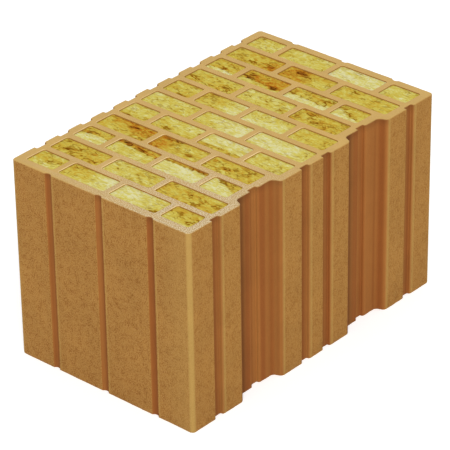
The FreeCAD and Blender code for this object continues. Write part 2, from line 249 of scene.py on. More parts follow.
@dataclass(frozen=True)
class FiredClay:
    """Extruded clay fired to a matt ochre, open-pored and never glazed.

    The pressed outer panels carry dark burnt specks, and their corners and upright
    arrises are worn pale and carry a painted highlight; the end face is painted lighter
    towards the front corner. The grooves and the cell walls stay smoother and redder, in
    bands as the clay slid through the die, with painted shade in the lee hollows and
    towards the top bed face. The wire-cut bed faces are paler, partly from their own clay
    and partly painted light that makes the top lighter than the sides, with a painted
    highlight along one side of each cell's rim, and worn grainy towards the corner where
    it was held.
    """

    panel_dark: str = "#9d6e2f"
    panel_pale: str = "#ab8047"
    speck: str = "#743c00"
    band_red: str = "#905425"
    band_ochre: str = "#9d642f"
    # Pale wear on corners and arrises, and partly a painted highlight
    rub_and_highlight: str = "#b59855"
    # Colour of the painted shade in the lee hollows and towards the top bed face
    hollow_shade: str = "#4f2b0f"
    # Bed face: its own paler clay, and partly painted light, lighter than the sides
    cut: str = "#cba662"
    # Painted highlight along one side of each cell's rim
    rim_highlight: str = "#ebcf94"
    dust: str = "#dccba6"
    dust_grain: str = "#b8945f"
    roughness: float = 0.9
    specular: float = 0.15
    pit_depth_mm: float = 0.25
    grain_mm: float = 1.3
    grain_shading: float = 0.04
    smooth_skin: float = 0.25
    speck_mm: float = 1.4
    speck_cluster_mm: float = 8.0
    speck_gathering: float = 0.45
    speck_bar: tuple[float, float] = (0.7, 0.91)
    speck_strength: float = 0.62
    speck_clearing: float = 2.0
    cloud_mm: float = 38.0
    cloud_shading: float = 0.05
    band_mm: float = 8.0
    band_slimness: float = 0.006
    drag_line_mm: float = 2.2
    drag_line_slimness: float = 0.012
    drag_line_shading: float = 0.02
    # Painted shade on the grooves and cell walls towards the top bed face
    head_mm: float = 11.0
    head_shade: float = 0.3

    def material(self, top: float) -> Material:
        """Builds the node material for a block whose top bed face is at the given height."""
        material, tree, shader = start_material("fired_clay_brick", self.roughness,
                                                self.specular)
        place = add_node(tree, "TexCoord").outputs["Object"]
        painted = {name: add_node(tree, "Attribute", {"attribute_name": name}).outputs["Fac"]
                   for name in ("panel", "coarse", "arris", "hollow", "cut", "rim_highlight", "dust")}
        grain = add_node(tree, "TexNoise", Vector=place, Scale=1 / (self.grain_mm * MM),
                         Detail=3.0, Roughness=0.6)
        # Pale wear and painted highlight clear the specks sooner than they pale the clay
        left_speckled = add_node(tree, "Math", TIMES_PLUS, in_0=painted["arris"],
                            in_1=-self.speck_clearing, in_2=painted["panel"])
        coarse = add_node(tree, "Math", TIMES, in_0=left_speckled, in_1=painted["coarse"])
        specks = self.specks(tree, place, coarse)
        height = add_node(tree, "SeparateXYZ", Vector=place).outputs["Z"]
        # Painted shade: the walls darken towards the top bed face
        head = add_node(tree, "MapRange", SMOOTH, Value=height,
                        From_Min=top - self.head_mm * MM, From_Max=top,
                        To_Max=self.head_shade)
        colour = self.bands(tree, place)
        # The layers hold painted shade, painted highlights and partly painted light on the bed
        for share, layer in ((head, linear(self.hollow_shade)),
                             (painted["panel"], self.pressed(tree, painted["coarse"], grain)),
                             (painted["hollow"], linear(self.hollow_shade)),
                             (specks, linear(self.speck)),
                             (painted["arris"], linear(self.rub_and_highlight)),
                             (painted["cut"], self.bed(tree, painted["dust"], grain)),
                             (painted["rim_highlight"], linear(self.rim_highlight))):
            colour = add_node(tree, "Mix", COLOUR, Factor=share, A=colour, B=layer)
        clouds = add_node(tree, "TexNoise", Vector=place, Scale=1 / (self.cloud_mm * MM),
                          Detail=3.0, Roughness=0.6)
        drag_lines = self.upright(tree, place, self.drag_line_mm, self.drag_line_slimness, 2.0)
        for noise, shading in ((clouds, self.cloud_shading),
                               (drag_lines, self.drag_line_shading),
                               (grain, self.grain_shading)):
            factor = add_node(tree, "MapRange", Value=noise, To_Min=1 - shading,
                              To_Max=1 + shading, **NOISE_SPAN)
            grey = add_node(tree, "CombineColor", Red=factor, Green=factor, Blue=factor)
            colour = add_node(tree, "Mix", TINT, Factor=1.0, A=colour, B=grey)
        tree.links.new(colour.outputs["Result"], shader.inputs["Base Color"])
        pitted = add_node(tree, "Math", {"operation": "SUBTRACT"}, in_0=grain, in_1=specks)
        bump = add_node(tree, "Bump", Strength=0.5, Distance=self.pit_depth_mm * MM,
                        Height=pitted)
        tree.links.new(bump.outputs["Normal"], shader.inputs["Normal"])
        return material

    def upright(self, tree: Tree, place: Socket, width_mm: float, slimness: float,
                detail: float) -> Node:
        """Noise drawn out along Z, the way that the clay slid through the die."""
        drawn = add_node(tree, "Mapping", Vector=place, Scale=(1.0, 1.0, slimness))
        return add_node(tree, "TexNoise", Vector=drawn, Scale=1 / (width_mm * MM),
                        Detail=detail)

    def pressed(self, tree: Tree, coarse: Socket, grain: Node) -> Node:
        """Panel skin, in which paler grains show between darker ones where it is coarse."""
        share = add_node(tree, "MapRange", Value=grain, **NOISE_SPAN)
        share = add_node(tree, "Mix", Factor=coarse, A=self.smooth_skin, B=share)
        return add_node(tree, "Mix", COLOUR, Factor=share, A=linear(self.panel_dark),
                        B=linear(self.panel_pale))

    def bands(self, tree: Tree, place: Socket) -> Node:
        """Red and ochre bands that run up the grooves and the cell walls."""
        noise = self.upright(tree, place, self.band_mm, self.band_slimness, 1.0)
        share = add_node(tree, "MapRange", SMOOTH, Value=noise, From_Min=0.35, From_Max=0.65)
        return add_node(tree, "Mix", COLOUR, Factor=share, A=linear(self.band_red),
                        B=linear(self.band_ochre))

    def specks(self, tree: Tree, place: Socket, coarse: Node) -> Node:
        """Dark burnt specks in loose clusters, where the pressed skin is coarse.

        A fine noise shows its peaks above a bar, and a wider noise lifts them over it
        where the specks gather.
        """
        fine = add_node(tree, "TexNoise", Vector=place, Scale=1 / (self.speck_mm * MM),
                        Detail=1.0)
        wide = add_node(tree, "TexNoise", Vector=place,
                        Scale=1 / (self.speck_cluster_mm * MM), Detail=2.0)
        both = add_node(tree, "Math", TIMES_PLUS, in_0=wide, in_1=self.speck_gathering,
                        in_2=fine.outputs[0])
        low, high = self.speck_bar
        peak = add_node(tree, "MapRange", SMOOTH, Value=both, From_Min=low, From_Max=high,
                        To_Max=self.speck_strength)
        return add_node(tree, "Math", {**TIMES, "use_clamp": True}, in_0=peak, in_1=coarse)

    def bed(self, tree: Tree, dust: Socket, grain: Node) -> Node:
        """Cut bed face, scoured to a pale grain where the dust paint is high."""
        grains = add_node(tree, "MapRange", SMOOTH, Value=grain, From_Min=0.42, From_Max=0.58)
        scoured = add_node(tree, "Mix", COLOUR, Factor=grains, A=linear(self.dust_grain),
                           B=linear(self.dust))
        # The cut colour is partly painted light that makes the top lighter than the sides
        return add_node(tree, "Mix", COLOUR, Factor=dust, A=linear(self.cut), B=scoured)


@dataclass(frozen=True)
class MineralWool:
    """Slag fibre bonded into slabs and sawn to length, dull and never glazed.

    The sawn ends show matted fibres: pale where the binder is thin, gold to amber where
    it gathered, and scorched brown where it burnt. Fibres curl over the face as streaks
    and as thin dark or pale lines, drawn several times as coarse as real ones, as wide
    as the picture can show.
    """

    tones: tuple[tuple[float, str], ...] = (
        (0.0, "#dfdaa5"), (0.15, "#d9d07e"), (0.33, "#d1c25a"), (0.5, "#cbb245"),
        (0.62, "#c7a338"), (0.75, "#c28d2a"), (0.88, "#b6701c"), (1.0, "#9d5013"))
    scorched: str = "#53290d"
    shade: Rgba = (0.47, 0.29, 0.07, 1.0)
    fibre_spacing_mm: float = 7.0
    fibre_slimness: float = 0.45
    lying_degrees: float = 10.0
    lying_width: float = 0.085
    crossing_degrees: float = -30.0
    crossing_width: float = 0.08
    crossing_tone: float = -0.15
    clump_mm: float = 8.0
    streak_mm: float = 4.2
    streak_degrees: float = 4.0
    streak_tone: float = 0.19
    tuft_shade: float = 0.3
    relief_mm: float = 0.5

    def material(self) -> Material:
        """Builds the node material."""
        material, tree, shader = start_material("bonded_mineral_wool", 1.0, 0.0)
        place = add_node(tree, "TexCoord").outputs["Object"]
        tone, fleck, tuft, scorch = (
            add_node(tree, "Attribute", {"attribute_name": name}).outputs["Fac"]
            for name in ("tone", "fleck", "tuft", "scorch"))
        lying = self.fibres(tree, place, self.lying_degrees, self.lying_width)
        crossing = self.fibres(tree, place, self.crossing_degrees, self.crossing_width)
        clump = add_node(tree, "TexNoise", Vector=place, Scale=1 / (self.clump_mm * MM),
                         Detail=2.0)
        gathered = add_node(tree, "MapRange", SMOOTH, Value=clump, From_Min=0.42,
                            From_Max=0.62, To_Min=0.15)
        gathered = add_node(tree, "Math", TIMES_PLUS, in_0=gathered, in_1=fleck, in_2=tuft)
        dark = add_node(tree, "Math", TIMES, in_0=lying, in_1=gathered)
        dark = add_node(tree, "Math", {**TIMES_PLUS, "use_clamp": True}, in_0=tuft,
                        in_1=self.tuft_shade, in_2=dark)
        burnt = add_node(tree, "MapRange", Value=lying, To_Min=0.55, To_Max=1.0)
        burnt = add_node(tree, "Math", {**TIMES, "use_clamp": True}, in_0=burnt, in_1=scorch)
        ragged = self.drawn_noise(tree, place, self.streak_degrees, self.streak_mm, 3.0)
        ragged = add_node(tree, "MapRange", Value=ragged, From_Min=0.25, From_Max=0.75,
                          To_Min=-self.streak_tone, To_Max=self.streak_tone)
        paler = add_node(tree, "Math", TIMES_PLUS, in_0=crossing, in_1=self.crossing_tone,
                         in_2=ragged)
        total = add_node(tree, "Math", {"operation": "ADD"}, in_0=tone, in_1=paler)
        colour = add_node(tree, "ValToRGB", {"stops": self.tones}, Fac=total)
        colour = add_node(tree, "Mix", TINT, Factor=dark, A=colour, B=self.shade)
        colour = add_node(tree, "Mix", COLOUR, Factor=burnt, A=colour,
                          B=linear(self.scorched))
        tree.links.new(colour.outputs["Result"], shader.inputs["Base Color"])
        bump = add_node(tree, "Bump", Strength=0.4, Distance=self.relief_mm * MM,
                        Height=ragged)
        tree.links.new(bump.outputs["Normal"], shader.inputs["Normal"])
        return material

    def fibres(self, tree: Tree, place: Socket, lean_degrees: float, width: float) -> Node:
        """Thin curling lines, where a drawn-out noise passes through its middle value."""
        noise = self.drawn_noise(tree, place, lean_degrees, self.fibre_spacing_mm, 1.2)
        off = add_node(tree, "Math", {"operation": "SUBTRACT"}, in_0=noise, in_1=0.5)
        off = add_node(tree, "Math", {"operation": "ABSOLUTE"}, in_0=off)
        return add_node(tree, "MapRange", SMOOTH, Value=off, From_Min=width,
                        From_Max=0.2 * width)

    def drawn_noise(self, tree: Tree, place: Socket, lean_degrees: float, spacing_mm: float,
                    detail: float) -> Node:
        """Curling noise drawn out across the block, as the fibres lie."""
        drawn = add_node(tree, "Mapping", Vector=place, Scale=(self.fibre_slimness, 1.0, 0.3),
                         Rotation=(0.0, 0.0, math.radians(lean_degrees)))
        return add_node(tree, "TexNoise", Vector=drawn, Scale=1 / (spacing_mm * MM),
                        Detail=detail, Distortion=1.4)


@dataclass
class ClayBody:
    """The fired clay block with worn arrises, carried down the section of its solid."""

    node: Object
    corner_radius_mm: float = 5.0
    outer_wear_mm: float = 1.0
    cell_wear_mm: float = 0.45
    wear_patch_mm: float = 7.0
    rim_line_mm: float = 0.8
    outer_spacing_mm: float = 1.5
    cell_spacing_mm: float = 2.5
    curve_spacing_mm: float = 0.8
    shortest_straight_mm: float = 4.0
    sharp_turn_degrees: float = 40.0
    arris_wear_mm: float = 4.5
    lee_wear_mm: float = 0.8
    arris_steps: int = 3
    rim_steps: int = 3
    wall_steps: int = 4
    panel_fade_mm: float = 0.35
    cell_panel: float = 0.8
    long_face_coarse: float = 0.65
    # Pale wear and painted highlight on the corners and upright arrises
    arris_reach_mm: float = 1.4
    corner_shift_mm: float = 0.2
    line_shift_mm: float = 2.0
    line_share: float = 0.55
    rub_and_highlight_share: float = 0.5
    # Painted light on the end face towards the front corner
    front_light_share: float = 0.14
    front_light_mm: tuple[float, float] = (5.0, 48.0)
    # Painted shade in the hollows that face the high end of Y
    hollow_reach_mm: float = 10.0
    hollow_most: float = 0.6
    shade_depths_mm: tuple[float, ...] = (0.0, 2.0, 3.8, 7.0, 10.5, 11.5, 14.3)
    shade_shares: tuple[float, ...] = (0.0, 0.45, 0.22, 1.35, 1.35, 0.08, 0.08)
    dust_mm: tuple[float, float] = (40.0, 220.0)
    # The painted rim highlight fades over this distance from the front corner
    rim_highlight_mm: tuple[float, float] = (150.0, 450.0)

    def section(self) -> list[Array]:
        """Closed outlines of the clay in the top bed face, in metres, the outer one first.

        They are the edges that only one triangle of the flat top face has, joined end
        to end with the clay on their left side.
        """
        mesh = self.node.data
        points = np.empty(len(mesh.vertices) * 3)
        mesh.vertices.foreach_get("co", points)
        points = points.reshape(-1, 3)
        corners = np.empty(len(mesh.polygons) * 3, int)
        mesh.polygons.foreach_get("vertices", corners)
        triangles = corners.reshape(-1, 3)
        top = points[:, 2].max()
        triangles = triangles[(points[triangles, 2] > top - 0.01 * MM).all(axis=1)]
        _, first, same = np.unique(np.round(points[:, :2] / (0.001 * MM)), axis=0,
                                   return_index=True, return_inverse=True)
        plan = points[first, :2]
        triangles = same.reshape(-1)[triangles]
        starts, ends = triangles.ravel(), np.roll(triangles, -1, axis=1).ravel()
        single = ~np.isin(starts * len(plan) + ends, ends * len(plan) + starts)
        following = dict(zip(starts[single].tolist(), ends[single].tolist()))
        outlines = []
        while following:
            outline = [next(iter(following))]
            while outline[-1] in following:
                outline.append(following.pop(outline[-1]))
            outlines.append(plan[outline[:-1]])
        return sorted(outlines, key=lambda outline: -np.ptp(outline))

    def smoothed(self, outline: Array, spacing_mm: float) -> Array:
        """Draws an outline's curved stretches as curves and divides its sides evenly.

        Each side becomes a Hermite cubic. Its end directions are its own at a sharp
        turn and along a long straight side, those of such a neighbour where it has one,
        and else the mean of the two sides that meet.

        Args:
            outline: Corner points in plan.
            spacing_mm: Distance between the new points along straight sides.

        Returns:
            Points in plan, closer together along the curves.
        """
        step = np.roll(outline, -1, axis=0) - outline
        length = np.hypot(*step.T)
        ahead = step / length[:, None]
        behind = np.roll(ahead, 1, axis=0)
        mean = ahead + behind
        mean /= np.hypot(*mean.T)[:, None]
        sharp = ((ahead * behind).sum(axis=1)
                 < math.cos(math.radians(self.sharp_turn_degrees)))[:, None]
        long_ahead = (length > self.shortest_straight_mm * MM)[:, None]
        long_behind = np.roll(long_ahead, 1, axis=0)
        leaving = np.where(sharp | long_ahead, ahead, np.where(long_behind, behind, mean))
        arriving = np.where(sharp | long_behind, behind, np.where(long_ahead, ahead, mean))
        spacing = np.where(long_ahead[:, 0], spacing_mm, self.curve_spacing_mm)
        pieces = np.ceil(length / (spacing * MM)).astype(int).clip(1)
        side = np.repeat(np.arange(len(outline)), pieces)
        order = np.arange(pieces.sum()) - np.repeat(np.cumsum(pieces) - pieces, pieces)
        t = (order / pieces[side])[:, None]
        reach = length[side, None]
        following = (side + 1) % len(outline)
        return ((2 * t ** 3 - 3 * t ** 2 + 1) * outline[side]
                + (t ** 3 - 2 * t ** 2 + t) * reach * leaving[side]
                + (3 * t ** 2 - 2 * t ** 3) * outline[following]
                + (t ** 3 - t ** 2) * reach * arriving[following])

    def into_clay(self, outline: Array) -> Array:
        """Direction into the clay at each point, mitred so that sides move in parallel.

        At the sharpest corners the mitre stops at 1 / 0.6 of the way that the sides move.
        """
        step = np.roll(outline, -1, axis=0) - outline
        step /= np.hypot(*step.T)[:, None]
        normal = np.stack((-step[:, 1], step[:, 0]), axis=1)
        bisector = normal + np.roll(normal, 1, axis=0)
        bisector /= np.hypot(*bisector.T)[:, None]
        return bisector / np.clip((bisector * normal).sum(axis=1), 0.6, 1)[:, None]

    def wall(self, outline: Array, wear_mm: float, top: float) -> Array:
        """One outline carried from the top bed face to the bottom one.

        Each arris is a quarter turn: at an angle a from the bed face the surface stands
        r (1 - sin a) inside the wall and r (1 - cos a) below the bed face, where a noise
        along the outline takes the radius r from 0.45 to 1.55 times its mean. A flat
        line of the bed face goes along with it.

        Args:
            outline: Points of the wall in plan.
            wear_mm: Mean radius of the worn arris.
            top: Height of the top bed face.

        Returns:
            Points in rows from top to bottom, shaped rows x points x 3.
        """
        patch = self.wear_patch_mm * MM
        noise = layered_noise(outline[:, 0], outline[:, 1], patch, patch, seed=11)
        radius = wear_mm * MM * (0.45 + 1.1 * noise)
        turn = np.linspace(0, math.pi / 2, self.rim_steps + 1)[:, None]
        inset, drop = radius * (1 - np.sin(turn)), radius * (1 - np.cos(turn))
        inset = np.concatenate((inset[:1] + self.rim_line_mm * MM, inset))
        drop = np.concatenate((drop[:1], drop))
        inner = np.linspace(0, 1, self.wall_steps + 1)[1:-1, None]
        wall_drop = drop[-1] + inner * (top - 2 * drop[-1])
        inset = np.concatenate((inset, np.zeros_like(wall_drop), inset[::-1]))
        height = np.concatenate((top - drop, top - wall_drop, drop[::-1]))
        plan = outline + self.into_clay(outline) * inset[..., None]
        return np.concatenate((plan, height[..., None]), axis=2)

    def turns(self, outline: Array) -> Array:
        """Angle by which an outline turns at each point, above 0 where it goes round clay."""
        step = np.roll(outline, -1, axis=0) - outline
        before = np.roll(step, 1, axis=0)
        return np.arctan2(before[:, 0] * step[:, 1] - before[:, 1] * step[:, 0],
                          (before * step).sum(axis=1))

    def windward(self, outline: Array) -> Array:
        """Above 0 where an arris of a long face faces the low end of Y, below 0 the high.

        It is 1.5 times the part along the block of the direction into the clay. It fades
        away where the part across the block falls from 1 to 0.55, as on the end faces.
        """
        across, along = self.into_clay(outline).T
        return 1.5 * np.clip(2.2 * np.abs(across) - 1.2, 0, 1) * along

    def rounded(self, outline: Array) -> Array:
        """Wears each sharp arris of an outline round, most where the block's way rubs it.

        Between two points on the sides, each at r tan(turn / 2) from the arris but
        within its side, the line follows the quadratic curve
        (1 - t)^2 start + 2 t (1 - t) arris + t^2 end.
        """
        step = np.roll(outline, -1, axis=0) - outline
        length = np.hypot(*step.T)
        ahead = step / length[:, None]
        turn = self.turns(outline)
        facing = np.clip(self.windward(outline), 0, 1)
        radius = MM * (self.lee_wear_mm + (self.arris_wear_mm - self.lee_wear_mm) * facing)
        cut = np.where(turn > math.radians(self.sharp_turn_degrees),
                       radius * np.tan(turn / 2), 0)
        before = np.minimum(cut, 0.9 * np.roll(length, 1))[:, None]
        after = np.minimum(cut, 0.9 * length)[:, None]
        start, end = outline - before * np.roll(ahead, 1, axis=0), outline + after * ahead
        t = np.linspace(0, 1, self.arris_steps + 1)[:, None]
        curve = ((1 - t) ** 2 * start[:, None] + 2 * t * (1 - t) * outline[:, None]
                 + t ** 2 * end[:, None]).reshape(-1, 2)
        gap = np.hypot(*(np.roll(curve, -1, axis=0) - curve).T)
        return curve[gap > 0.001 * MM]

    def turns_near(self, outline: Array, turns: Array, reach_mm: float,
                   ahead_mm: float = 0.0) -> Array:
        """Sum of an outline's turns near each point.

        Each turn counts by a Gaussian of its distance along the outline.

        Args:
            outline: Points of the wall in plan.
            turns: Turn at each point that counts, in radians.
            reach_mm: Distance at which a turn counts by 1 / e.
            ahead_mm: Distance past its own place at which a turn counts most.

        Returns:
            One sum for each point.
        """
        length = np.hypot(*(np.roll(outline, -1, axis=0) - outline).T)
        place = np.cumsum(length) - length
        gap = np.abs(place[:, None] - place - ahead_mm * MM)
        gap = np.minimum(gap, np.abs(length.sum() - gap))
        return np.exp(-(gap / (reach_mm * MM)) ** 2) @ turns

    def rub_and_highlight(self, outline: Array, at_corner: Array) -> Array:
        """Share of pale wear and painted highlight on the block's corners and upright arrises.

        Turns round clay, summed near each point and eased, give a corner's share at its
        place and an arris's share in a painted highlight line just past it. An arris counts
        more, the more it faces the low end of Y, towards the key light, and its line fades
        where turns crowd on a narrow rib.
        """
        round_clay = np.clip(self.turns(outline), 0, None)
        corner = self.turns_near(outline, at_corner * round_clay, self.arris_reach_mm,
                                 self.corner_shift_mm)
        facing = np.clip(0.2 + 1.6 * self.windward(outline), 0, 1)
        lines = self.turns_near(outline, ~at_corner * facing * round_clay, self.arris_reach_mm,
                                self.line_shift_mm)
        lines = eased(lines, 0.1, 0.35) * (1 - 0.75 * eased(lines, 0.6, 1.0))
        return np.maximum(eased(corner, 0.1, 0.55), self.line_share * lines)

    def shaded_hollows(self, outline: Array, below_mm: Array) -> Array:
        """Share of painted shade in the hollows that face the high end of Y, away from the key
        light.

        Turns round a hollow, weighed by their depth below the block's sides, are summed
        near each point.
        """
        hollows = np.clip(-self.turns(outline), 0, None)
        lee = np.clip(0.3 - self.windward(outline), 0, 1)
        weight = np.interp(below_mm, self.shade_depths_mm, self.shade_shares)
        hollow_shade = self.turns_near(outline, weight * lee * hollows, self.hollow_reach_mm)
        return np.clip(hollow_shade * eased(below_mm, 0.1, self.panel_fade_mm), 0, self.hollow_most)

    def outer_paints(self, outline: Array, high: Vector) -> dict[str, Array]:
        """Shares of panel, coarse skin, pale wear with painted highlight, and painted shade.

        The panel is a share of each side of the outline. It fades out with the depth
        below the block's round-cornered rectangle. The others are shares at each point.
        The end faces are coarse in full and the long faces less. The arrises on the side of
        each rib that faces the low end of Y, towards the key light, are worn pale and carry a
        painted highlight, and painted shade darkens the hollows on the other side. Painted
        light makes the end face at low Y lighter towards the long face with the pockets.
        """
        radius = self.corner_radius_mm * MM
        middle = (outline + np.roll(outline, -1, axis=0)) / 2
        past = np.clip(np.abs(middle) - (high.x - radius, high.y - radius), 0, None)
        depth_mm = (radius - np.hypot(*past.T)) / MM
        below_mm = (np.array((high.x, high.y)) - np.abs(outline)).min(axis=1) / MM
        end_face = 1 - np.abs(self.into_clay(outline)[:, 0]).clip(0, 1)
        # Painted light: the end face at low Y grows lighter towards the front corner
        front_light = 1 - eased((high.x - outline[:, 0]) / MM, *self.front_light_mm)
        front_light = self.front_light_share * front_light * end_face * (outline[:, 1] < 0)
        # Pale wear and painted highlight on the corners and upright arrises
        worn = self.rub_and_highlight_share * self.rub_and_highlight(outline, past.min(axis=1) > 0)
        worn = worn * (1 - eased(depth_mm, 0.4, 1.2))
        return {"panel": 1 - eased(depth_mm, 0.05, self.panel_fade_mm),
                "coarse": self.long_face_coarse + (1 - self.long_face_coarse) * end_face,
                "arris": np.maximum(worn, front_light),
                # Painted shade in the lee hollows
                "hollow": self.shaded_hollows(outline, below_mm)}

    def dressed_wall(self, outline: Array, outer: bool,
                     high: Vector) -> tuple[Array, dict[str, Array]]:
        """Wall of the block or of a cell, with a paint's value for each point or face.

        Only a cell has the flat line of the bed face, and a painted highlight along its rim
        on the low-X side. Its pale cut colour dies away faster over its worn arris.
        """
        rim = np.linspace(1, 0, self.rim_steps + 1)
        cut = np.concatenate(([1], rim, np.zeros(self.wall_steps - 1), rim[::-1], [1]))
        rim_highlight = np.zeros_like(cut)
        rim_highlight[1:1 + self.rim_steps] = rim_highlight[-1 - self.rim_steps:-1] = 1
        nothing = np.zeros(len(outline))
        if outer:
            along = self.outer_paints(outline, high)
            wall = self.wall(outline, self.outer_wear_mm, high.z)[1:-1]
            cut, rim_highlight, highlight_side = cut[1:-1], rim_highlight[1:-1], nothing
        else:
            along = {"panel": nothing + self.cell_panel, "coarse": nothing, "arris": nothing,
                     "hollow": nothing}
            wall = self.wall(outline, self.cell_wear_mm, high.z)
            # Painted highlight on the cell rim where its clay lies towards low X
            cut, highlight_side = cut ** 2, np.clip(-self.into_clay(outline)[:, 0], 0, 1)
        paints = {"panel": np.tile(along.pop("panel"), len(wall) - 1)}
        paints |= {name: np.tile(values, len(wall)) for name, values in along.items()}
        paints |= {"cut": np.repeat(cut, len(outline)), "rim_highlight": np.outer(rim_highlight, highlight_side).ravel()}
        return wall, paints

    def build(self, material: Material) -> Object:
        """Joins the walls of every outline with the two bed faces."""
        low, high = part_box(self.node.name)
        walls, dressings, faces, rings = [], [], [], []
        start = 0
        for outline in self.section():
            outer = not walls
            spacing = self.outer_spacing_mm if outer else self.cell_spacing_mm
            outline = self.smoothed(self.rounded(outline) if outer else outline, spacing)
            wall, paints = self.dressed_wall(outline, outer, high)
            number = start + np.arange(len(wall) * len(outline)).reshape(wall.shape[:2])
            beside = np.roll(number, -1, axis=1)
            quads = np.stack((number[:-1], beside[:-1], beside[1:], number[1:]), axis=2)
            faces += quads.reshape(-1, 4).tolist()
            walls.append(wall.reshape(-1, 3))
            dressings.append(paints)
            rings.append((number[0], number[-1]))
            start += number.size
        points = np.concatenate(walls)
        tops, bottoms = zip(*rings)
        # Filled in millimetres, because the filling's own tolerance is too wide in metres
        cap = np.array(tessellate_polygon([[Vector(point) for point in points[ring] / MM]
                                           for ring in tops]))
        faces += np.concatenate(tops)[cap].tolist()
        faces += np.concatenate(bottoms)[cap[:, ::-1]].tolist()
        joined = {name: np.concatenate([paints[name] for paints in dressings])
                  for name in dressings[0]}
        joined["panel"] = np.concatenate((joined["panel"], np.zeros(2 * len(cap))))
        away_mm = np.hypot(high.x - points[:, 0], points[:, 1] - low.y) / MM
        joined["dust"] = joined["cut"] * (1 - eased(away_mm, *self.dust_mm))
        # The painted rim highlight fades away from the front corner
        joined["rim_highlight"] *= 1 - eased(away_mm, *self.rim_highlight_mm)
        piece = make_piece("clay_body", points, faces, joined, material)
        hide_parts(self.node.name)
        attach(piece, "root")
        return piece


class Fleece(Enum):
    """Kinds of wool seen in the cells: their tone from pale to amber, and their flecks."""

    WHITE = (0.2, 0.3)
    LEMON = (0.36, 0.55)
    GOLD = (0.49, 0.65)
    FLECKED = (0.55, 0.9)
    AMBER = (0.76, 0.7)


class Way(Enum):
    """Direction in which one kind of wool gives way to the next, in shares of the slab."""

    ALONG_X = (1.0, 0.0)
    ALONG_Y = (0.0, 1.0)
    LEANING = (0.2, 1.0)
    SLANTED = (0.7, 1.0)


@dataclass(frozen=True)
class SlabLook:
    """What one slab shows: one kind of wool, or two that meet, and its torn tufts.

    The second kind starts at a share of the slab's size, softly or at a torn seam. The
    tufts are places in shares of the slab.
    """

    first: Fleece
    second: Fleece | None = None
    way: Way = Way.ALONG_X
    starts: float = 0.5
    torn: bool = False
    tufts: tuple[tuple[float, float], ...] = ()


